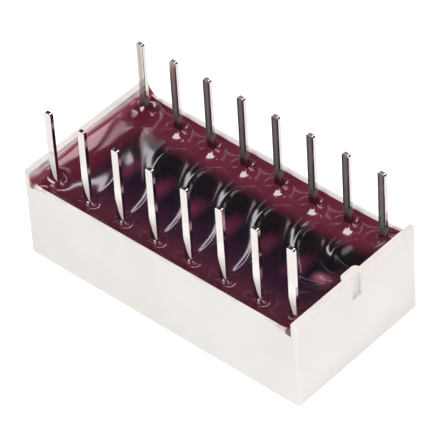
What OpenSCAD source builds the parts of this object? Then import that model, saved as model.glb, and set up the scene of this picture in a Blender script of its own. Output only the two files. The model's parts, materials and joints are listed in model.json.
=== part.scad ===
// LED bar graph display: eight light bars in a moulded housing, sixteen leads.
// It lies on its light-emitting face (z = 0) with the leads pointing up. X runs along
// the row of bars, Y across it, and the origin is the middle of the face.

/* [Package] */
// Distance between neighbouring leads, which is also that between the light bars
pitch = 2.54; // [2.4:0.01:3.1]
// Width of the housing across both lead rows
body_width = 10.16; // [9.6:0.02:13]
// Height of the end walls, whose tops are the stand-offs on the circuit board
end_wall_height = 6.1; // [5.6:0.05:8]
// How far the end walls stand higher than the long walls
standoff_rise = 0.76; // [0.5:0.02:1]

/* [Housing walls] */
// Thickness of the end walls
end_wall = 0.44; // [0.36:0.01:0.6]
// Thickness of the long walls below their lead-in chamfer
long_wall = 0.45; // [0.36:0.01:0.6]
// Flat width left on top of the long walls, outside the lead-in chamfer
rim_land = 0.2; // [0.12:0.01:0.3]
// Depth of the open well under the rim of the long walls
well_depth = 1.34; // [1:0.02:1.8]
// Inward slope of the end walls between rim and face, measured at the face
end_draft = 0.08; // [0:0.01:0.2]
// Radius of the four upright outer corners
corner_radius = 0.25; // [0.1:0.01:0.4]

/* [Corner reliefs and gate] */
// Length of the sloped relief at each end of a long wall's rim
relief_length = 1.3; // [0.8:0.05:1.6]
// Depth of that relief where it meets the end wall
relief_depth = 0.22; // [0.1:0.02:0.4]
// Width of the moulding gate's recess in the middle of one end wall
gate_width = 0.76; // [0.5:0.02:1.2]
// Depth of that recess
gate_depth = 0.22; // [0.1:0.02:0.3]
// Height of the recess below the top of the end wall
gate_height = 1.55; // [1:0.05:2]
// How far the wall bulges inwards behind the recess
bulge_depth = 0.32; // [0.2:0.02:0.5]

/* [Light bars] */
// Width of a light bar at the face
bar_width = 1.52; // [1.2:0.02:1.84]
// Length of a light bar at the face
bar_length = 5.08; // [4:0.02:6.1]
// How far a reflector cavity widens on each long side, from the face up to the shelf
flare_across = 0.26; // [0.1:0.01:0.28]
// How far it widens at each short end
flare_along = 0.3; // [0.1:0.05:0.4]

/* [Leads] */
// Distance between the middles of the two lead rows
row_spacing = 7.62; // [6.3:0.01:8]
// Width of a lead along the row
lead_width = 0.51; // [0.4:0.01:0.64]
// Thickness of the lead strip
lead_thickness = 0.25; // [0.2:0.01:0.32]
// Length of the leads beyond the stand-offs
lead_reach = 4.2; // [3:0.1:6]
// Inner radius of the bend from the leg into the foot
bend_radius = 0.12; // [0.06:0.01:0.2]
// Chamfer on both edges of a lead's tip
tip_chamfer = 0.1; // [0.04:0.01:0.16]
// Depth of the groove in the shelf that locates a lead's foot
groove_depth = 0.12; // [0.06:0.01:0.2]
// Room between a foot or pad and the housing beside it
groove_clearance = 0.05; // [0.03:0.01:0.1]

/* [Chips and wires] */
// Side of the square chip pad on a cathode lead
pad_size = 0.9; // [0.7:0.05:1.2]
// Gap between the chip pad and the contact end of the anode lead
contact_gap = 0.5; // [0.4:0.05:0.8]
// Length of the widened contact end of the anode lead
contact_length = 0.7; // [0.6:0.05:0.9]
// Width of that contact end
contact_width = 0.8; // [0.7:0.05:1.2]
// Side of a light-emitting chip
die_size = 0.34; // [0.25:0.01:0.45]
// Height of a light-emitting chip
die_height = 0.22; // [0.15:0.01:0.3]
// Diameter of a bond wire
wire_diameter = 0.04; // [0.03:0.005:0.06]

/* [Resin surface] */
// How far the middle of the resin has sunk below the rim of the long walls
pool_drop = 0.66; // [0.4:0.02:0.8]
// How far below the tops of the end walls the resin film ends
film_drop = 0.2; // [0.1:0.05:0.5]
// Distance over which the climb at a long wall dies away
rim_reach = 0.8; // [0.5:0.05:1.2]
// Distance over which the climb at the plain end wall dies away
plain_end_reach = 1.45; // [0.5:0.05:1.6]
// Distance from the middle line at which the climb at the plain end wall would be gone
plain_end_bow = 7; // [6:0.5:12]
// Distance over which the climb at the end wall with the gate dies away
gate_end_reach = 0.9; // [0.5:0.05:1.6]
// Distance over which the climb in the four corners dies away
corner_reach = 0.25; // [0.15:0.05:0.4]
// Height of the resin that has crept up the anode leads
anode_creep = 0.34; // [0.1:0.02:0.5]
// Height of the resin that has crept up the cathode leads
cathode_creep = 0.46; // [0.1:0.02:0.5]
// Distance over which the creep at an anode lead dies away
anode_creep_reach = 0.36; // [0.3:0.02:0.6]
// Distance over which the creep at a cathode lead dies away
cathode_creep_reach = 0.5; // [0.3:0.02:0.6]
// Depth of the folds in which the resin has settled between the bars
fold_depth = 0.06; // [0:0.01:0.12]
// Distance over which a fold flattens out on each side
fold_width = 0.21; // [0.15:0.01:0.4]
// How far a fold swings to each side of the middle between two bars
fold_swing = 1.1; // [0:0.05:1.2]

/* [Hidden] */
bar_count = 8;
$fn = 32;

body_length = bar_count * pitch;
rim_z = end_wall_height - standoff_rise;
shelf_z = rim_z - well_depth;
foot_z = shelf_z - groove_depth;
tip_z = end_wall_height + lead_reach;
half_length = body_length / 2;
half_width = body_width / 2;
well_half_length = half_length - end_wall;
well_half_width = half_width - long_wall;
rim_inner = half_width - rim_land;
rim_chamfer = long_wall - rim_land;
row_y = row_spacing / 2;
pad_edge = pad_size / 2;
contact_edge = pad_edge + contact_gap;
wire_span = contact_edge + contact_length / 2;
die_z = foot_z - die_height;
past = 1;              // how far a cut runs past the face that it opens
lowest_contact = 0.03; // how far the resin stays under the rim's inner edge
pool_z = rim_z - pool_drop;
film_z = end_wall_height - film_drop;
creep_start = 0.17;    // distance from a lead's axis at which the creep has its height
creep_stretch = 1.35;  // how much wider than long the creep is around the flat leads
fold_offset = 0.1;     // how far the folds lie beside the middles between the bars
fold_rounding = 0.15;  // radius at the bottom of a fold
fold_turn = 1.4;       // distance over which a fold swings across
fold_fade = 0.3;       // gap between the end of a fold and the row of leads
hook_inset = 0.41;     // distance of a fold's hooked end from the cathode leads
hook_reach = 0.65;     // length of that hooked end
hook_swing = 1;        // how far it bends back
columns_per_pitch = 10; // columns of the resin surface's mesh between two leads
rows_across = 40;       // rows of that mesh across the housing

function bar_x(k) = (k - (bar_count + 1) / 2) * pitch;

// ---- shapes that repeat ----

module rounded_plan(length, width, radius) {
    square([length - 2 * radius, width], center = true);
    square([length, width - 2 * radius], center = true);
    for (x = [-1, 1], y = [-1, 1])
        translate([x * (length / 2 - radius), y * (width / 2 - radius)]) circle(radius);
}

// Profile in X and Z, drawn out along Y and centred on it
module drawn_along_y(depth) {
    translate([0, depth / 2, 0]) rotate([90, 0, 0]) linear_extrude(depth) children();
}

// Profile in Y and Z, drawn out along X and centred on it
module drawn_along_x(depth) {
    translate([-depth / 2, 0, 0]) rotate([90, 0, 90]) linear_extrude(depth) children();
}

// ---- room inside the housing ----

// A reflector cavity: a light bar's outline at the face, wider at the shelf
module cavity() {
    top_width = bar_width + 2 * flare_across;
    top_length = bar_length + 2 * flare_along;
    intersection() {
        drawn_along_y(top_length) polygon([
            [-bar_width / 2, 0], [bar_width / 2, 0],
            [top_width / 2, shelf_z], [-top_width / 2, shelf_z]]);
        drawn_along_x(top_width) polygon([
            [-bar_length / 2, 0], [bar_length / 2, 0],
            [top_length / 2, shelf_z], [-top_length / 2, shelf_z]]);
    }
}

// The outermost cavities keep the upright inner face of the end walls
module cavities() {
    intersection() {
        for (k = [1:bar_count]) translate([bar_x(k), 0, 0]) cavity();
        translate([-well_half_length, -well_half_width, 0])
            cube([2 * well_half_length, 2 * well_half_width, shelf_z]);
    }
}

// The open well above the shelf, with the lead-in chamfer under each long rim
module well() {
    drawn_along_x(2 * well_half_length) polygon([
        [-well_half_width, shelf_z], [well_half_width, shelf_z],
        [well_half_width, rim_z - rim_chamfer], [rim_inner, rim_z],
        [rim_inner, end_wall_height], [-rim_inner, end_wall_height],
        [-rim_inner, rim_z], [-well_half_width, rim_z - rim_chamfer]]);
}

// The end wall's bulge behind the gate's recess
module gate_bulge() {
    bulge_width = gate_width + 2 * bulge_depth;
    translate([0, 0, shelf_z]) linear_extrude(end_wall_height - shelf_z + past) {
        translate([well_half_length - bulge_depth, -gate_width / 2])
            square([bulge_depth + end_wall, gate_width]);
        for (y = [-1, 1])
            translate([well_half_length, y * gate_width / 2]) circle(bulge_depth);
        translate([well_half_length, -bulge_width / 2]) square([end_wall, bulge_width]);
    }
}

module gate_recess() {
    translate([half_length - gate_depth, -gate_width / 2, end_wall_height - gate_height])
        cube([gate_depth + past, gate_width, gate_height + past]);
}

// Room for the feet: grooves in the shelf that locate them, and clear space at the chip pads
module foot_rooms() {
    groove_width = lead_width + 2 * groove_clearance;
    groove_end = row_y + lead_thickness / 2 + groove_clearance;
    pad_room = pad_size + 2 * groove_clearance;
    for (k = [1:bar_count]) translate([bar_x(k), 0, foot_z]) {
        translate([-groove_width / 2, -groove_end, 0])
            cube([groove_width, 2 * groove_end, groove_depth]);
        translate([-pad_room / 2, -pad_room / 2, 0])
            cube([pad_room, pad_room, lead_thickness + groove_clearance]);
    }
}

// The sloped reliefs in the long rims next to the end walls, and the room above them
module corner_reliefs() {
    for (side = [-1, 1])
        drawn_along_y(body_width) polygon([
            [side * well_half_length, end_wall_height],
            [side * well_half_length, rim_z - relief_depth],
            [side * (well_half_length - relief_length), rim_z],
            [side * (well_half_length - relief_length), end_wall_height]]);
}

module inner_room() {
    cavities();
    foot_rooms();
    difference() {
        union() {
            well();
            corner_reliefs();
        }
        gate_bulge();
    }
}

// What is open above the long walls, between the end walls and the gate's bulge
module above_long_walls() {
    difference() {
        translate([-well_half_length, -half_width - past, rim_z])
            cube([2 * well_half_length, body_width + 2 * past, standoff_rise + past]);
        gate_bulge();
    }
}

// ---- housing ----

// The outside of the housing: rounded upright corners, end walls that lean in to the face
module outer_form() {
    intersection() {
        linear_extrude(end_wall_height)
            rounded_plan(body_length, body_width, corner_radius);
        drawn_along_y(body_width + past) polygon([
            [-half_length + end_draft, 0], [half_length - end_draft, 0],
            [half_length, end_wall_height], [-half_length, end_wall_height]]);
    }
}

module housing() {
    color("ivory") difference() {
        outer_form();
        inner_room();
        above_long_walls();
        gate_recess();
    }
}

// ---- leads ----

// One lead of the row on the side of +Y: leg, bend, foot and its inner end.
// inner_y is where the foot ends, end_size the width and length of its wide end.
module lead(inner_y, end_size) {
    bend_y = row_y + lead_thickness / 2 - bend_radius - lead_thickness;
    bend_z = foot_z + lead_thickness + bend_radius;
    drawn_along_x(lead_width) {
        translate([inner_y, foot_z]) square([bend_y - inner_y, lead_thickness]);
        translate([bend_y, bend_z]) intersection() {
            difference() {
                circle(bend_radius + lead_thickness);
                circle(bend_radius);
            }
            translate([0, -bend_z]) square(bend_z);
        }
    }
    translate([0, row_y, 0]) drawn_along_y(lead_thickness) polygon([
        [-lead_width / 2, bend_z], [lead_width / 2, bend_z],
        [lead_width / 2, tip_z - tip_chamfer], [lead_width / 2 - tip_chamfer, tip_z],
        [tip_chamfer - lead_width / 2, tip_z], [-lead_width / 2, tip_z - tip_chamfer]]);
    translate([-end_size[0] / 2, inner_y, foot_z])
        cube([end_size[0], end_size[1], lead_thickness]);
}

module anode_lead(k) {
    color("silver") translate([bar_x(k), 0, 0]) mirror([0, 1, 0])
        lead(contact_edge, [contact_width, contact_length]);
}

module cathode_lead(k) {
    color("silver") translate([bar_x(k), 0, 0])
        lead(-pad_edge, [pad_size, pad_size]);
}

// ---- chips and wires, which face down into the cavities ----

module led_die(k) {
    color("gold") translate([bar_x(k) - die_size / 2, -die_size / 2, die_z])
        cube([die_size, die_size, die_height]);
}

module bond_wire(k) {
    wire_radius = wire_diameter / 2;
    color("goldenrod") translate([bar_x(k), 0, die_z]) {
        translate([0, -wire_span / 2, 0]) rotate([0, 90, 0]) rotate([0, 0, -90])
            rotate_extrude(angle = 180) translate([wire_span / 2, 0]) circle(wire_radius);
        translate([0, -wire_span, 0]) cylinder(h = die_height, r = wire_radius);
    }
}

// ---- resin ----

function smooth_step(low, high, value) =
    let (share = min(max((value - low) / (high - low), 0), 1))
    share * share * (3 - 2 * share);

function tanh(u) = 1 - 2 / (exp(2 * u) + 1);

function total(heights) = heights * [for (height = heights) 1];

// How high the resin has crept near one lead
function creep(x, y, lead_x, lead_y, height, reach) =
    height * exp((creep_start - norm([(x - lead_x) / creep_stretch, y - lead_y])) / reach);

function lead_climb(x, y) = total([for (k = [1:bar_count])
    creep(x, y, bar_x(k), -row_y, anode_creep, anode_creep_reach)
    + creep(x, y, bar_x(k), row_y, cathode_creep, cathode_creep_reach)]);

// How high the resin has climbed near an end wall that is this far away
function end_climb(away, reach) = (film_z - pool_z) * exp(-max(away, 0) / reach);

// How far a fold lies beside the middle between two bars: a long S with a hooked end
function fold_drift(y) =
    fold_offset - fold_swing * tanh(y / fold_turn)
    + hook_swing * exp(-pow((row_y - hook_inset - y) / hook_reach, 2));

// 1 over the bars and 0 at both rows of leads
function fold_share(y) =
    smooth_step(-row_y - fold_fade, -bar_length / 2, y)
    * (1 - smooth_step(bar_length / 2, row_y - fold_fade, y));

// Depth of the folds, one between each two bars
function folds(x, y) =
    let (lean = (fold_drift(y + 0.05) - fold_drift(y - 0.05)) / 0.1)
    fold_depth * fold_share(y) * total([for (k = [1:bar_count - 1])
        let (beside = (x - bar_x(k) - pitch / 2 - fold_drift(y)) / norm([1, lean]))
        exp((fold_rounding - norm([beside, fold_rounding])) / fold_width)]);

// Height of the resin's edge on a long wall, which climbs in the corners
function rim_contact(x) =
    rim_z - lowest_contact + (film_z - rim_z + lowest_contact)
        * exp(-max(well_half_length - abs(x), 0) / corner_reach);

// Height of the resin's back surface
function resin_z(x, y) =
    let (
        free_of_rim = 1 - exp(-max(rim_inner - abs(y), 0) / rim_reach),
        inner_z = pool_z - folds(x, y) + lead_climb(x, y)
            + end_climb(well_half_length + x, plain_end_reach) * (1 - pow(y / plain_end_bow, 2))
            + end_climb(well_half_length - x, gate_end_reach))
    rim_contact(x) * (1 - free_of_rim) + inner_z * free_of_rim;

// How far a column of the mesh shifts to run along the folds; the outermost ones are straight
function column_shift(x, y) =
    fold_drift(y) * fold_share(y)
    * (1 - smooth_step(well_half_length - 2 * pitch, well_half_length, abs(x)));

// Everything below the back surface, reaching a little past the walls
module below_surface() {
    columns = bar_count * columns_per_pitch;
    step_x = body_length / columns;
    step_y = body_width / rows_across;
    stride = rows_across + 1;
    top = [for (i = [0:columns], j = [0:rows_across])
        let (
            column_x = i * step_x - half_length,
            y = j * step_y - half_width,
            x = column_x + column_shift(column_x, y))
        [x, y, resin_z(x, y)]];
    last = len(top);
    corners = [for (x = [-1, 1], y = [-1, 1]) [x * half_length, y * half_width, 0]];
    top_faces = [for (i = [0:columns - 1], j = [0:rows_across - 1])
        let (a = i * stride + j, b = a + stride)
        each [[a, a + 1, b + 1], [a, b + 1, b]]];
    low_x = [for (j = [0:rows_across]) j];
    high_x = [for (j = [0:rows_across]) columns * stride + rows_across - j];
    low_y = [for (i = [0:columns]) (columns - i) * stride];
    high_y = [for (i = [0:columns]) i * stride + rows_across];
    polyhedron(concat(top, corners), concat(top_faces, [
        concat([last + 1, last], low_x),
        concat([last + 2, last + 3], high_x),
        concat([last, last + 2], low_y),
        concat([last + 3, last + 1], high_y),
        [last, last + 1, last + 3, last + 2]]));
}

module resin_fill() {
    color("darkred") difference() {
        intersection() {
            inner_room();
            below_surface();
        }
        for (k = [1:bar_count]) {
            anode_lead(k);
            cathode_lead(k);
            led_die(k);
            bond_wire(k);
        }
    }
}

housing();
resin_fill();
for (k = [1:bar_count]) {
    anode_lead(k);
    cathode_lead(k);
    led_die(k);
    bond_wire(k);
}
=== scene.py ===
"""LED bar graph display lying on its face: resin surface, finished edges, materials and light."""
import json
import math

import bmesh
import bpy
from mathutils import Matrix, Vector


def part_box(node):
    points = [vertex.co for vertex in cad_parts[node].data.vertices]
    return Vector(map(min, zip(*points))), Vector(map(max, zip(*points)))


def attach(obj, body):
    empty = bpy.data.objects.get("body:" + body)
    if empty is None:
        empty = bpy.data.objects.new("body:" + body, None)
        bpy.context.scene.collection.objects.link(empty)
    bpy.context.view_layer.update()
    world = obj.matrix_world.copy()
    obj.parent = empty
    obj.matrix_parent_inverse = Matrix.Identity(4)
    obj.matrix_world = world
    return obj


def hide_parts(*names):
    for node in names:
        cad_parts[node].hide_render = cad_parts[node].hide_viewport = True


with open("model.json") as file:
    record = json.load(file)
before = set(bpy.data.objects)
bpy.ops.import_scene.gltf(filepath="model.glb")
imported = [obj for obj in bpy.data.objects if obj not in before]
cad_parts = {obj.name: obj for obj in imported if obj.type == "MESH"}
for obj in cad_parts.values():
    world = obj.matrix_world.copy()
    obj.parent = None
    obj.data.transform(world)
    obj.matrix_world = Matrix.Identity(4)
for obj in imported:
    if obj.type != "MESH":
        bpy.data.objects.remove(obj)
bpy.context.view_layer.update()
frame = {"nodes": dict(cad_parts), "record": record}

MM = 0.001
NODES = frame["nodes"]

# ---- sizes of the display, in millimetres; the outer ones come from its frame ----


def corners(node):
    """Low and high corner of a node, in millimetres."""
    return [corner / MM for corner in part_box(node)]


BAR_COUNT = 8
_, HOUSE_HIGH = corners("housing")
_, RESIN_HIGH = corners("resin_fill")
ANODE_LOW, _ = corners("anode_lead_1")

PITCH = 2 * HOUSE_HIGH.x / BAR_COUNT
HALF_WIDTH = HOUSE_HIGH.y
END_WALL_TOP = HOUSE_HIGH.z
WELL_END = RESIN_HIGH.x
LEAD_THICKNESS = 0.25
LEAD_WIDTH = 0.51
ROW_Y = -ANODE_LOW.y - LEAD_THICKNESS / 2
STANDOFF_RISE = 0.76
RIM_Z = END_WALL_TOP - STANDOFF_RISE
RIM_LAND = 0.2
RIM_INNER = HALF_WIDTH - RIM_LAND
SHELF_DEPTH = 1.34
SHELF_Z = RIM_Z - SHELF_DEPTH
RELIEF_LENGTH = 1.3
RELIEF_DEPTH = 0.22
BAR_WIDTH = 1.52
BAR_LENGTH = 5.08
FLARE_ACROSS = 0.26
FLARE_ALONG = 0.3
GATE_WIDTH = 0.76
GATE_DEPTH = 0.32


def bar_x(number):
    """Middle of a light bar, of which number 1 is at the plain end and the last at the gate."""
    return (number - (BAR_COUNT + 1) / 2) * PITCH


# ---- camera ----

CAMERA_AZIMUTH = math.radians(43.763)
CAMERA_ELEVATION = math.radians(42.626)
CAMERA_ROLL = math.radians(-3.703)
CAMERA_DISTANCE = 0.20298
CAMERA_TARGET = Vector((-0.000834, 0.001164, 0.003))
FOCAL_IN_FRAMES = 8.0696
SENSOR = 36


def direction(azimuth, elevation):
    """Unit vector from the display; azimuth 0 is its -Y side and a quarter turn its +X end."""
    return Vector((
        math.sin(azimuth) * math.cos(elevation),
        -math.cos(azimuth) * math.cos(elevation),
        math.sin(elevation)))


def make_camera():
    away = direction(CAMERA_AZIMUTH, CAMERA_ELEVATION)
    data = bpy.data.cameras.new("camera")
    data.sensor_width = SENSOR
    data.lens = FOCAL_IN_FRAMES * SENSOR
    data.clip_start = 0.01
    data.clip_end = 10
    camera = bpy.data.objects.new("camera", data)
    camera.location = CAMERA_TARGET + away * CAMERA_DISTANCE
    camera.rotation_euler = (-away).to_track_quat("-Z", "Y").to_euler()
    camera.rotation_euler.rotate_axis("Z", CAMERA_ROLL)
    bpy.context.scene.collection.objects.link(camera)
    bpy.context.scene.camera = camera


make_camera()

# ---- height of the resin's back surface ----

POOL_DROP = 0.66
FILM_DROP = 0.2
LOWEST_CONTACT = 0.03
CORNER_REACH = 0.25
RIM_REACH = 0.8
PLAIN_END_REACH = 1.45
PLAIN_END_BOW = 7
THIN_FILM_RISE = 0.15
THIN_FILM_REACH = 0.04
GATE_END_REACH = 0.9

# Row -1 is the anodes' and row 1 the cathodes'
ROWS = (-1, 1)
CREEP_HEIGHT = {-1: 0.34, 1: 0.46}
CREEP_REACH = {-1: 0.36, 1: 0.5}
CREEP_STRETCH = 1.35
CREEP_START = 0.17
CREEP_STEEPENING = 0.45
CREEP_STEEPENS = (-0.1, 0.7)

# Even folds lie between the first bars, and the first of them is shallower
FOLD_DEPTH = 0.06
FOLD_ROUNDING = 0.15
FRONT_FOLD_WIDTH = 0.1575
FOLD_WIDENING = 0.105
FOLD_WIDENS = (-1, 2)
FOLD_FADES_IN = (-4.1, -2.6)
FOLD_FADES_OUT = (2.6, 3.5)
FOLD_OFFSET = 0.1
FOLD_SWING = 1.1
FOLD_SWING_LENGTH = 1.4
FOLD_HOOK_Y = 3.4
FOLD_HOOK_LENGTH = 0.65
SLOPE_STEP = 0.05
EVEN_FOLDS = 5
FIRST_FOLD_SHARE = 0.45

# The last two folds run into the wall behind the gate: x, y and depth along each
LAST_FOLDS = (
    ((5.2, 3.35, 0.04), (4.75, 3.05, 0.06), (4.42, 2.6, 0.07), (4.36, 2.02, 0.07),
     (4.76, 1.12, 0.07), (5.7, 0, 0.08), (6.4, -0.8, 0.11), (7.1, -1.1, 0.13),
     (7.83, -0.9, 0.12), (8.5, -0.5, 0.1), (8.75, 0.1, 0.06), (8.75, 0.6, 0)),
    ((7.9, 3.1, 0.02), (7.3, 3.15, 0.05), (6.9, 2.85, 0.07), (6.75, 2.3, 0.08),
     (6.92, 1.8, 0.09), (7.28, 1.42, 0.1), (7.82, 1.12, 0.1), (8.4, 1, 0.1),
     (8.8, 1.3, 0.1), (8.97, 1.9, 0.1), (8.9, 2.4, 0.04)),
)
LAST_FOLD_WIDTH = 0.2
LAST_FOLDS_START = 3
COURSE_STEPS = 5


def smooth(low, high, value):
    """0 below low, 1 above high, and a smooth step between."""
    share = min(max((value - low) / (high - low), 0), 1)
    return share * share * (3 - 2 * share)


def creep(x, y, lead_x, row):
    """Height of the resin that has crept up a lead; it falls away faster on the gate's side."""
    away = math.hypot((x - lead_x) / CREEP_STRETCH, y - row * ROW_Y) - CREEP_START
    reach = CREEP_REACH[row] * (1 - CREEP_STEEPENING * smooth(*CREEP_STEEPENS, x - lead_x))
    return CREEP_HEIGHT[row] * math.exp(-away / reach)


def valley(away, width):
    """1 in a fold's middle, falling to 0 beside it, with a rounded bottom."""
    return math.exp((FOLD_ROUNDING - math.hypot(away, FOLD_ROUNDING)) / width)


def fold_drift(y):
    """How far a fold of the resin lies beside the middle between two bars."""
    hook = math.exp(-((FOLD_HOOK_Y - y) / FOLD_HOOK_LENGTH) ** 2)
    return FOLD_OFFSET - FOLD_SWING * math.tanh(y / FOLD_SWING_LENGTH) + hook


def smooth_course(points):
    """Points along a smooth curve through the given ones."""
    given = [Vector(point) for point in points]
    given = [2 * given[0] - given[1], *given, 2 * given[-1] - given[-2]]
    course = []
    for before, first, second, after in zip(given, given[1:], given[2:], given[3:]):
        for n in range(COURSE_STEPS):
            t = n / COURSE_STEPS
            course.append(0.5 * (
                2 * first + (second - before) * t
                + (2 * before - 5 * first + 4 * second - after) * t ** 2
                + (3 * first - before - 3 * second + after) * t ** 3))
    return course + [given[-2]]


COURSES = [smooth_course(points) for points in LAST_FOLDS]


def depth_along(x, y, course):
    """Depth at a place of the fold that follows a course."""
    depth = 0
    for first, second in zip(course, course[1:]):
        run_x, run_y = second.x - first.x, second.y - first.y
        share = ((x - first.x) * run_x + (y - first.y) * run_y) / (run_x ** 2 + run_y ** 2)
        share = min(max(share, 0), 1)
        away = math.hypot(x - first.x - share * run_x, y - first.y - share * run_y)
        here = first.z + share * (second.z - first.z)
        depth = max(depth, here * valley(away, LAST_FOLD_WIDTH))
    return depth


def fold_at(x, y):
    """Depth of the shallow folds in which the resin has settled between the bars."""
    drift = fold_drift(y)
    lean = (fold_drift(y + SLOPE_STEP) - fold_drift(y - SLOPE_STEP)) / (2 * SLOPE_STEP)
    width = FRONT_FOLD_WIDTH + FOLD_WIDENING * smooth(*FOLD_WIDENS, y)
    total = 0
    for number in range(1, EVEN_FOLDS + 1):
        beside = x - bar_x(number) - PITCH / 2 - drift
        share = FIRST_FOLD_SHARE if number == 1 else 1
        total += share * valley(beside / math.hypot(1, lean), width)
    even = FOLD_DEPTH * total * smooth(*FOLD_FADES_IN, y) * (1 - smooth(*FOLD_FADES_OUT, y))
    if x < LAST_FOLDS_START:
        return even
    return even + sum(depth_along(x, y, course) for course in COURSES)


def rim_contact(x):
    """Height of the resin where it ends at a long wall; it climbs in the corners."""
    climb = END_WALL_TOP - FILM_DROP - RIM_Z + LOWEST_CONTACT
    return RIM_Z - LOWEST_CONTACT + climb * math.exp(-max(WELL_END - abs(x), 0) / CORNER_REACH)


def resin_z(x, y):
    """Height of the resin's back surface, which climbs at the walls and at each lead."""
    free_of_rim = 1 - math.exp(-max(RIM_INNER - abs(y), 0) / RIM_REACH)
    pool_z = RIM_Z - POOL_DROP
    end_height = END_WALL_TOP - FILM_DROP - pool_z
    from_plain_end = WELL_END + x
    bow = 1 - (y / PLAIN_END_BOW) ** 2
    plain_climb = end_height * bow * math.exp(-from_plain_end / PLAIN_END_REACH)
    thin_film = THIN_FILM_RISE * math.exp(-from_plain_end / THIN_FILM_REACH)
    gate_climb = end_height * math.exp(-(WELL_END - x) / GATE_END_REACH)
    lead_climb = sum(
        creep(x, y, bar_x(number), row) for number in range(1, BAR_COUNT + 1) for row in ROWS)
    inner_z = pool_z + plain_climb + thin_film + gate_climb + lead_climb - fold_at(x, y)
    return rim_contact(x) * (1 - free_of_rim) + inner_z * free_of_rim


# ---- making pieces ----

PIECES = []
DOUBLES_GAP = 0.0005
FLAT_ANGLE = math.radians(0.5)
SHARP_ANGLE = math.radians(35)
HOUSING_ROUNDING = 0.05
LEAD_ROUNDING = 0.025
ROUNDING_SEGMENTS = 2


def new_piece(name, shape, slot, *replaced):
    """Turns a bmesh in millimetres into a piece of the display."""
    bmesh.ops.scale(shape, vec=(MM, MM, MM), verts=shape.verts)
    data = bpy.data.meshes.new(name)
    shape.to_mesh(data)
    shape.free()
    piece = bpy.data.objects.new(name, data)
    bpy.context.scene.collection.objects.link(piece)
    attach(piece, "root")
    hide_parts(*replaced)
    PIECES.append((piece, slot))


def merged_copy(node):
    """A bmesh of a node in millimetres, its loose triangles joined into flat faces."""
    shape = bmesh.new()
    shape.from_mesh(NODES[node].data)
    bmesh.ops.scale(shape, vec=(1 / MM, 1 / MM, 1 / MM), verts=shape.verts)
    bmesh.ops.remove_doubles(shape, verts=shape.verts, dist=DOUBLES_GAP)
    bmesh.ops.dissolve_limit(
        shape, angle_limit=FLAT_ANGLE, verts=shape.verts, edges=shape.edges)
    return shape


def soften_edges(shape, width):
    """Rounds every sharp edge over the given width."""
    sharp = [
        edge for edge in shape.edges
        if len(edge.link_faces) == 2 and edge.calc_face_angle() > SHARP_ANGLE]
    bmesh.ops.bevel(
        shape, geom=sharp, offset=width, offset_type="OFFSET", segments=ROUNDING_SEGMENTS,
        profile=0.5, affect="EDGES", clamp_overlap=True, material=-1)


SURFACE_COLUMNS = 360
SURFACE_ROWS = 180
WALL_MARGIN = 0.01
RELIEF_STEPS = 8
RELIEF_SINK = 0.01
RELIEF_TUCK = 0.02
BULGE_RUN = 1


def outline(shape, points):
    """A closed loop of edges through the given points."""
    made = [shape.verts.new(point) for point in points]
    return [shape.edges.new((made[n - 1], made[n])) for n in range(len(made))]


def bar_outline(shape, number, width, length, z):
    """Outline of a light bar at a height, kept clear of the well's end walls."""
    limit = WELL_END - WALL_MARGIN
    points = []
    for side_x, side_y in ((-1, -1), (1, -1), (1, 1), (-1, 1)):
        corner_x = min(max(bar_x(number) + side_x * width / 2, -limit), limit)
        points.append((corner_x, side_y * length / 2, z))
    return outline(shape, points)


def add_resin_body(shape):
    """Closes the resin below its surface: skirt, underside, and a tapered bar in each cavity."""
    border = [edge for edge in shape.edges if edge.is_boundary]
    skirt = bmesh.ops.extrude_edge_only(shape, edges=border)["geom"]
    rims = [edge for edge in skirt if isinstance(edge, bmesh.types.BMEdge) and edge.is_boundary]
    for vertex in skirt:
        if isinstance(vertex, bmesh.types.BMVert):
            vertex.co.z = SHELF_Z
    for number in range(1, BAR_COUNT + 1):
        top = bar_outline(
            shape, number, BAR_WIDTH + 2 * FLARE_ACROSS, BAR_LENGTH + 2 * FLARE_ALONG, SHELF_Z)
        face = bar_outline(shape, number, BAR_WIDTH, BAR_LENGTH, 0)
        bmesh.ops.bridge_loops(shape, edges=top + face)
        bmesh.ops.edgeloop_fill(shape, edges=face)
        rims += top
    bmesh.ops.triangle_fill(shape, use_beauty=True, edges=rims, normal=(0, 0, -1))


def add_relief_filling(shape, end, side):
    """The resin in a corner relief, flush with the outside of the long wall."""
    inner = RIM_INNER - RELIEF_TUCK
    sections = []
    for n in range(RELIEF_STEPS + 1):
        share = n / RELIEF_STEPS
        x = WELL_END - RELIEF_LENGTH + RELIEF_LENGTH * share
        low, high = RIM_Z - RELIEF_DEPTH * share - RELIEF_SINK, rim_contact(x)
        sections.append(outline(shape, [
            (end * x, side * y, z)
            for y, z in ((inner, low), (HALF_WIDTH, low), (HALF_WIDTH, high), (inner, high))]))
    for first, second in zip(sections, sections[1:]):
        bmesh.ops.bridge_loops(shape, edges=first + second)
    bmesh.ops.edgeloop_fill(shape, edges=sections[0])
    bmesh.ops.edgeloop_fill(shape, edges=sections[-1])


def gate_inset(y):
    """How far the end wall bulges inwards behind the gate's recess."""
    beside = max(abs(y) - GATE_WIDTH / 2, 0)
    return math.sqrt(max(GATE_DEPTH ** 2 - beside ** 2, 0))


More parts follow.
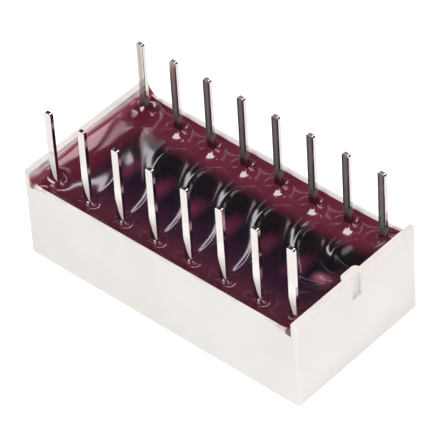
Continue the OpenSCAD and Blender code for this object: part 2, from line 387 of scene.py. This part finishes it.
def make_resin():
    shape = bmesh.new()
    bmesh.ops.create_grid(
        shape, x_segments=SURFACE_COLUMNS, y_segments=SURFACE_ROWS, size=1,
        matrix=Matrix.Diagonal((WELL_END, RIM_INNER, 1, 1)))
    for vertex in shape.verts:
        x, y = vertex.co.x, vertex.co.y
        vertex.co.z = resin_z(x, y)
        vertex.co.x = x - gate_inset(y) * smooth(WELL_END - BULGE_RUN, WELL_END, x)
    for face in shape.faces:
        face.smooth = True
    add_resin_body(shape)
    for end in (-1, 1):
        for side in (-1, 1):
            add_relief_filling(shape, end, side)
    bmesh.ops.recalc_face_normals(shape, faces=shape.faces)
    new_piece("resin_surface", shape, "red_resin", "resin_fill")


def make_housing():
    shape = merged_copy("housing")
    soften_edges(shape, HOUSING_ROUNDING)
    new_piece("moulded_housing", shape, "white_plastic", "housing")


def make_leads():
    for row in ("anode_lead", "cathode_lead"):
        for number in range(1, BAR_COUNT + 1):
            node = f"{row}_{number}"
            shape = merged_copy(node)
            soften_edges(shape, LEAD_ROUNDING)
            new_piece(f"tinned_{node}", shape, "tinned_strip", node)


make_housing()
make_leads()
make_resin()

# ---- shader maths ----

# A Mix node's sockets for colours; their names are shared with its other sockets
COLOUR_A = 6
COLOUR_B = 7
COLOUR_RESULT = 2


class Value:
    """A shader socket on which Python's operators add Math nodes."""

    def __init__(self, tree, socket):
        self.tree = tree
        self.socket = socket

    def node(self, kind, settings=None, inputs=None, output=0):
        """Adds a node, sets it, then plugs in values or links, and wraps one of its outputs."""
        made = self.tree.nodes.new(kind)
        for name, setting in (settings or {}).items():
            setattr(made, name, setting)
        for key, given in (inputs or {}).items():
            plug(self.tree, made.inputs[key], given)
        return Value(self.tree, made.outputs[output])

    def math(self, operation, *others):
        return self.node(
            "ShaderNodeMath", {"operation": operation}, dict(enumerate((self,) + others)))

    def __add__(self, other):
        return self.math("ADD", other)

    def __sub__(self, other):
        return self.math("SUBTRACT", other)

    def __mul__(self, other):
        return self.math("MULTIPLY", other)

    def __truediv__(self, other):
        return self.math("DIVIDE", other)

    def __rsub__(self, other):
        return self.node("ShaderNodeMath", {"operation": "SUBTRACT"}, {0: other, 1: self})

    def __abs__(self):
        return self.math("ABSOLUTE")

    __radd__ = __add__
    __rmul__ = __mul__

    def smooth(self, low, high):
        """0 below low, 1 above high, and a smooth step between."""
        return self.node("ShaderNodeMapRange", {"interpolation_type": "SMOOTHSTEP"},
                         {"Value": self, "From Min": low, "From Max": high})

    def mix_number(self, first, second):
        """The first where this is 0 and the second where it is 1."""
        return self.node("ShaderNodeMix", {"data_type": "FLOAT"},
                         {"Factor": self, "A": first, "B": second})

    def mix_colour(self, first, second):
        return self.node("ShaderNodeMix", {"data_type": "RGBA"},
                         {"Factor": self, COLOUR_A: first, COLOUR_B: second}, COLOUR_RESULT)


def plug(tree, socket, given):
    """Links a Value to a socket, or sets the socket to a number or a colour."""
    if isinstance(given, Value):
        tree.links.new(given.socket, socket)
    elif hasattr(given, "__len__") and len(given) == 3 and socket.type == "RGBA":
        socket.default_value = (*given, 1)
    else:
        socket.default_value = given


def new_material(name):
    """A material with its node tree, its shader and the place on the piece that it colours."""
    made = bpy.data.materials.new(name)
    made.use_nodes = True
    tree = made.node_tree
    shader = tree.nodes["Principled BSDF"]
    place = Value(tree, None).node("ShaderNodeTexCoord", output="Object")
    return made, tree, shader, place


def axis_of(place, name):
    """One coordinate of a place, in millimetres."""
    return place.node("ShaderNodeSeparateXYZ", None, {"Vector": place}, name) / MM


def noise(place, per_mm, detail=3):
    """A cloudy pattern between 0 and 1, with about this many clouds to a millimetre."""
    return place.node(
        "ShaderNodeTexNoise", None, {"Vector": place, "Scale": per_mm / MM, "Detail": detail})


def bump(height, strength, distance):
    return height.node("ShaderNodeBump", None, {
        "Height": height, "Strength": strength, "Distance": distance * MM})


# ---- white plastic of the housing ----

SHADED_PLASTIC = (0.80, 0.775, 0.735)
PALE_PLASTIC = (0.84, 0.815, 0.775)
PLASTIC_ROUGHNESS = (0.34, 0.50)


def white_plastic():
    made, tree, shader, place = new_material("white_plastic")
    cloud = noise(place, per_mm=0.25).smooth(0.3, 0.7)
    grain = noise(place, per_mm=9)
    plug(tree, shader.inputs["Base Color"], cloud.mix_colour(SHADED_PLASTIC, PALE_PLASTIC))
    plug(tree, shader.inputs["Roughness"], grain.mix_number(*PLASTIC_ROUGHNESS))
    plug(tree, shader.inputs["Normal"], bump(grain, strength=0.12, distance=0.01))
    return made


# ---- red resin, coloured by what shows through it ----

BLUE_DEPTH = (0.0035, 0.0025, 0.008)
GREEN_DEPTH = (0.008, 0.0048, 0.0068)
PLUM_DEPTH = (0.038, 0.010, 0.027)
BAR_GLOW = (0.11, 0.018, 0.045)
LAST_BAR_GLOW = (0.36, 0.12, 0.17)
FRONT_SHELF_RESIN = (0.085, 0.014, 0.030)
BACK_SHELF_RESIN = (0.138, 0.019, 0.040)
END_RESIN = (0.10, 0.011, 0.024)
THIN_RESIN = (0.24, 0.05, 0.08)
TAN_FILM = (0.52, 0.34, 0.32)
PALE_FILM = (0.78, 0.66, 0.63)
LIGHT_BAR_RED = (0.20, 0.006, 0.014)

SWAY = 1.6
BACK_SWAY_SHARE = 0.4
# Where each colour sets in and where it is full, along Y
GREEN_ZONE = (0.2, 1.6)
PLUM_ZONE = (0.4, -3.2)
FRONT_SHELF_ZONE = (-2.1, -3.7)
BACK_SHELF_ZONE = (2.0, 3.2)
# The same by distance from the plain end's wall, with the thinnest film last
PLAIN_END_FILMS = (
    ((2.6, 0.9), END_RESIN),
    ((0.6, 0.12), THIN_RESIN),
    ((0.14, 0.03), TAN_FILM),
    ((0.05, 0), PALE_FILM),
)
# The same by distance from the gate's wall, from the middle line and from the ends, and by height
GATE_END_ZONE = (0.9, 0.2)
LAND_ZONE = (RIM_INNER - 0.05, RIM_INNER + 0.03)
LAND_FROM_END_ZONE = (0.3, 0.5)
LIGHT_BAR_ZONE = (3.2, 2.6)
# Patches that glow through, by the middle and the reach of each along X and Y
BAR_GLOW_PLACE = (-0.3, -0.3)
BAR_GLOW_REACH = (0.9, 1.5)
BAR_GLOW_STRENGTH = 0.4
LAST_GLOW_PLACE = (7.8, -0.3)
LAST_GLOW_REACH = (0.8, 0.6)

RESIN_ROUGHNESS = (0.07, 0.11)
RING_ROUGHNESS = 0.03
RING_INSIDE = (0.6, 0.9)
RING_OUTSIDE = (2, 1.3)
RESIN_IOR = 1.54


def offset_from_bar(x):
    """How far a place lies beside the middle of its bar, in millimetres."""
    turns = x / PITCH + 0.5
    return (turns - turns.math("ROUND")) * PITCH


def lobe(away, reach):
    """1 where away is 0, falling to 0 at reach."""
    return abs(away).smooth(reach, 0)


def patch(x, y, middle, reach):
    """1 in the middle of a patch, falling to 0 at its reach along X and Y."""
    return lobe(x - middle[0], reach[0]) * lobe(y - middle[1], reach[1])


def resin_colour(place):
    x, y, z = (axis_of(place, name) for name in "XYZ")
    stir = noise(place, per_mm=0.35)
    sway = (stir - 0.5) * SWAY
    depth = (y + sway).smooth(*GREEN_ZONE).mix_colour(BLUE_DEPTH, GREEN_DEPTH)
    depth = (y + sway).smooth(*PLUM_ZONE).mix_colour(depth, PLUM_DEPTH)
    glow = patch(offset_from_bar(x), y + sway, BAR_GLOW_PLACE, BAR_GLOW_REACH)
    colour = (glow * (BAR_GLOW_STRENGTH + stir)).mix_colour(depth, BAR_GLOW)
    last_glow = patch(x, y, LAST_GLOW_PLACE, LAST_GLOW_REACH)
    colour = last_glow.mix_colour(colour, LAST_BAR_GLOW)
    colour = y.smooth(*FRONT_SHELF_ZONE).mix_colour(colour, FRONT_SHELF_RESIN)
    back = (y + sway * BACK_SWAY_SHARE).smooth(*BACK_SHELF_ZONE)
    colour = back.mix_colour(colour, BACK_SHELF_RESIN)
    for zone, film in PLAIN_END_FILMS:
        colour = (x + WELL_END).smooth(*zone).mix_colour(colour, film)
    colour = (WELL_END - x).smooth(*GATE_END_ZONE).mix_colour(colour, END_RESIN)
    on_land = abs(y).smooth(*LAND_ZONE) * (WELL_END - abs(x)).smooth(*LAND_FROM_END_ZONE)
    colour = on_land.mix_colour(colour, PALE_FILM)
    return z.smooth(*LIGHT_BAR_ZONE).mix_colour(colour, LIGHT_BAR_RED)


def resin_roughness(place):
    """Glossy all over, and a little duller in a ring round each lead."""
    along = offset_from_bar(axis_of(place, "X"))
    across = abs(axis_of(place, "Y")) - ROW_Y
    from_lead = (along * along + across * across).math("SQRT")
    ring = from_lead.smooth(*RING_INSIDE) * from_lead.smooth(*RING_OUTSIDE)
    return noise(place, per_mm=1.2).mix_number(*RESIN_ROUGHNESS) + ring * RING_ROUGHNESS


def red_resin():
    made, tree, shader, place = new_material("red_resin")
    plug(tree, shader.inputs["Base Color"], resin_colour(place))
    plug(tree, shader.inputs["Roughness"], resin_roughness(place))
    shader.inputs["IOR"].default_value = RESIN_IOR
    return made


# ---- tinned strip of the leads ----

TIN = (0.60, 0.58, 0.55)
# Painted reflection of the pale floor on the anodes' outer faces, shown dull
PAINTED_FLOOR_REFLECTION = (0.95, 0.92, 0.87)
WORN_TIN = (0.30, 0.215, 0.19)
# Painted reflection of the dark resin on the anodes, and the colour of the cathodes' darker foot
RESIN_REFLECTION_AND_DARK_FOOT = (0.06, 0.014, 0.022)
STRIP_ROUGHNESS = (0.04, 0.10)
DULL_ROUGHNESS = 0.15

# Darker at each lead's foot: on the anodes a painted reflection of the dark resin, tapering to one
# edge; on the cathodes a short dark band
DARK_FOOT_START = RIM_Z - 0.1
ANODE_RESIN_REFLECTION = 1.53
CATHODE_DARK_FOOT = 0.45
ANODE_REFLECTION_CURVE = 1.8
DARK_FOOT_RAGGED = 0.2
ANODE_REFLECTION_FADE = 0.15
CATHODE_DARK_FOOT_FADE = 1.1
# Above the painted resin reflection, where the painted reflection of the pale floor on the anodes'
# outer faces sets in and where it is full
FLOOR_REFLECTION_ZONE = (1.6, 0.4)
FLOOR_REFLECTION_RAGGED = 0.6
FLOOR_REFLECTION_DULLNESS = 0.85
OUTER_FACE_ZONE = (-0.1, -0.11)
ANODE_ZONE = (0.5, -0.5)
WORN_SHARE = 0.3
WORN_RAGGED = 0.4


def tinned_strip():
    """Tinned strip, darker at each foot, with the anodes' reflections of resin and floor painted
    on.
    """
    made, tree, shader, place = new_material("tinned_strip")
    x, y, z = (axis_of(place, name) for name in "XYZ")
    grain = noise(place, per_mm=6)
    across = offset_from_bar(x) / (LEAD_WIDTH / 2)
    anode = y.smooth(*ANODE_ZONE)
    to_edge = (0.5 - across * 0.5).math("MAXIMUM", 0)
    top = anode.mix_number(CATHODE_DARK_FOOT, to_edge.math("POWER", ANODE_REFLECTION_CURVE) * ANODE_RESIN_REFLECTION)
    above_start = z - DARK_FOOT_START
    # Painted reflection of the dark resin on the anodes, a dark band at the cathodes' foot
    reflection_and_dark_foot = (above_start + grain * DARK_FOOT_RAGGED - top).smooth(
        anode.mix_number(CATHODE_DARK_FOOT_FADE, ANODE_REFLECTION_FADE), 0)
    above_resin_reflection = above_start - ANODE_RESIN_REFLECTION
    # Painted reflection of the pale floor on the anodes' outer faces: near-white and dull
    floor_reflection = (y + ROW_Y).smooth(*OUTER_FACE_ZONE) * (
        above_resin_reflection + grain * FLOOR_REFLECTION_RAGGED).smooth(*FLOOR_REFLECTION_ZONE)
    worn = (1 - anode) * lobe(across, 1) * (WORN_SHARE + grain * WORN_RAGGED)
    tin = worn.mix_colour(floor_reflection.mix_colour(TIN, PAINTED_FLOOR_REFLECTION), WORN_TIN)
    dull = reflection_and_dark_foot.math("MAXIMUM", floor_reflection * FLOOR_REFLECTION_DULLNESS).math("MAXIMUM", worn)
    plug(tree, shader.inputs["Base Color"], reflection_and_dark_foot.mix_colour(tin, RESIN_REFLECTION_AND_DARK_FOOT))
    plug(tree, shader.inputs["Metallic"], 1 - dull)
    plug(tree, shader.inputs["Roughness"],
         grain.mix_number(*STRIP_ROUGHNESS) + dull * DULL_ROUGHNESS)
    return made


# ---- chips and bond wires, hidden in the resin ----

DARK_CRYSTAL = (0.58, 0.43, 0.12)
PALE_CRYSTAL = (0.72, 0.57, 0.20)
CRYSTAL_ROUGHNESS = (0.22, 0.38)
DARK_GOLD = (0.84, 0.59, 0.22)
PALE_GOLD = (0.94, 0.71, 0.33)
GOLD_ROUGHNESS = (0.14, 0.26)


def led_crystal():
    made, tree, shader, place = new_material("led_crystal")
    grain = noise(place, per_mm=14, detail=2)
    plug(tree, shader.inputs["Base Color"], grain.mix_colour(DARK_CRYSTAL, PALE_CRYSTAL))
    plug(tree, shader.inputs["Roughness"], grain.mix_number(*CRYSTAL_ROUGHNESS))
    return made


def gold_wire():
    made, tree, shader, place = new_material("gold_wire")
    drawn = noise(place, per_mm=20, detail=2)
    plug(tree, shader.inputs["Base Color"], drawn.mix_colour(DARK_GOLD, PALE_GOLD))
    plug(tree, shader.inputs["Roughness"], drawn.mix_number(*GOLD_ROUGHNESS))
    shader.inputs["Metallic"].default_value = 1
    return made


# ---- finishes on their pieces ----

FINISHES = {
    "white_plastic": white_plastic(),
    "red_resin": red_resin(),
    "tinned_strip": tinned_strip(),
    "led_crystal": led_crystal(),
    "gold_wire": gold_wire(),
}


def give_finish(thing, slot):
    """Puts a slot's material on a node or a new piece."""
    thing.data.materials.clear()
    thing.data.materials.append(FINISHES[slot])


for entry in frame["record"]["subparts"]:
    give_finish(NODES[entry["node"]], entry["material_slot"])
for piece, slot in PIECES:
    give_finish(piece, slot)

# ---- floor and light ----

FLOOR_HALF_SIZE = 2
FLOOR_GAP = 0.02 * MM
FLOOR_COLOUR = (0.97, 0.97, 0.97)
FLOOR_ROUGHNESS = 0.9
FLOOR_GLOW = 0.4


def make_floor():
    """A pale floor that glows only where it is seen, straight or in metal, and keeps its shadow."""
    plan = bmesh.new()
    bmesh.ops.create_grid(plan, x_segments=1, y_segments=1, size=FLOOR_HALF_SIZE)
    data = bpy.data.meshes.new("floor")
    plan.to_mesh(data)
    plan.free()
    floor = bpy.data.objects.new("floor", data)
    floor.location.z = -FLOOR_GAP
    bpy.context.scene.collection.objects.link(floor)
    made, tree, shader, place = new_material("pale_floor")
    plug(tree, shader.inputs["Base Color"], FLOOR_COLOUR)
    shader.inputs["Roughness"].default_value = FLOOR_ROUGHNESS
    shader.inputs["Specular IOR Level"].default_value = 0
    camera, glossy, transmission = (
        place.node("ShaderNodeLightPath", output=f"Is {kind} Ray")
        for kind in ("Camera", "Glossy", "Transmission"))
    seen = camera.math("MAXIMUM", glossy).math("MAXIMUM", transmission)
    plug(tree, shader.inputs["Emission Color"], seen.mix_colour((0, 0, 0), (1, 1, 1)))
    shader.inputs["Emission Strength"].default_value = FLOOR_GLOW
    data.materials.append(made)


LAMP_DISTANCE = 0.6
STUDIO_GREY = (0.07, 0.07, 0.07)
PANEL_TINT = (1, 0.72, 0.79)
TUBE_TINT = (1, 0.93, 1)
OVERHEAD_TINT = (1, 0.97, 1)
KEY_TINT = (0.95, 1, 0.99)
PANEL_TURN = math.radians(39)


def rectangular_lamp(name, half_x, half_y, radiance, tint):
    """A lamp whose half sizes are shares of its distance."""
    data = bpy.data.lights.new(name, "AREA")
    data.shape = "RECTANGLE"
    data.size = 2 * LAMP_DISTANCE * half_x
    data.size_y = 2 * LAMP_DISTANCE * half_y
    data.energy = radiance * math.pi * data.size * data.size_y
    data.color = tint
    lamp = bpy.data.objects.new(name, data)
    bpy.context.scene.collection.objects.link(lamp)
    return lamp


def hung_lamp(name, x, y, half_x, half_y, radiance, tint, turn=0):
    """A level lamp over the display, whose place is given in shares of its height as well."""
    lamp = rectangular_lamp(name, half_x, half_y, radiance, tint)
    lamp.location = (LAMP_DISTANCE * x, LAMP_DISTANCE * y, LAMP_DISTANCE)
    lamp.rotation_euler.z = turn


def softbox(name, azimuth, elevation, across, up, radiance, tint):
    """A lamp aimed at the display; across and up are its half angles, all angles in degrees."""
    lamp = rectangular_lamp(
        name, math.tan(math.radians(across)), math.tan(math.radians(up)), radiance, tint)
    away = direction(math.radians(azimuth), math.radians(elevation))
    lamp.location = away * LAMP_DISTANCE
    lamp.rotation_euler = away.to_track_quat("Z", "Y").to_euler()


def make_light():
    world = bpy.data.worlds.new("studio")
    bpy.context.scene.world = world
    world.use_nodes = True
    background = world.node_tree.nodes["Background"]
    plug(world.node_tree, background.inputs["Color"], STUDIO_GREY)
    hung_lamp("window_tube", -0.455, 1.115, 0.05, 0.485, 9, TUBE_TINT)
    hung_lamp("dim_tube", -0.455, 0.425, 0.04, 0.205, 1.8, TUBE_TINT)
    hung_lamp("far_tube", -1.1, 0.7, 0.035, 0.2, 3, TUBE_TINT)
    hung_lamp("near_panel", 0.18, 0.72, 0.18, 0.045, 5, PANEL_TINT, PANEL_TURN)
    hung_lamp("wide_panel", 0.455, 0.605, 0.225, 0.15, 8, PANEL_TINT, PANEL_TURN)
    hung_lamp("overhead", -0.12, -0.26, 0.22, 0.16, 13, OVERHEAD_TINT)
    hung_lamp("cross_tube", -0.85, 0.28, 0.36, 0.025, 2.6, TUBE_TINT)
    hung_lamp("rear_spot", 0.15, 1.1, 0.22, 0.08, 4, PANEL_TINT)
    softbox("front_key", 12, 24, 12, 10, 7.2, KEY_TINT)
    softbox("side_key", 95, 28, 14, 12, 5.4, KEY_TINT)


make_floor()
make_light()
bpy.context.scene.view_settings.view_transform = "Standard"
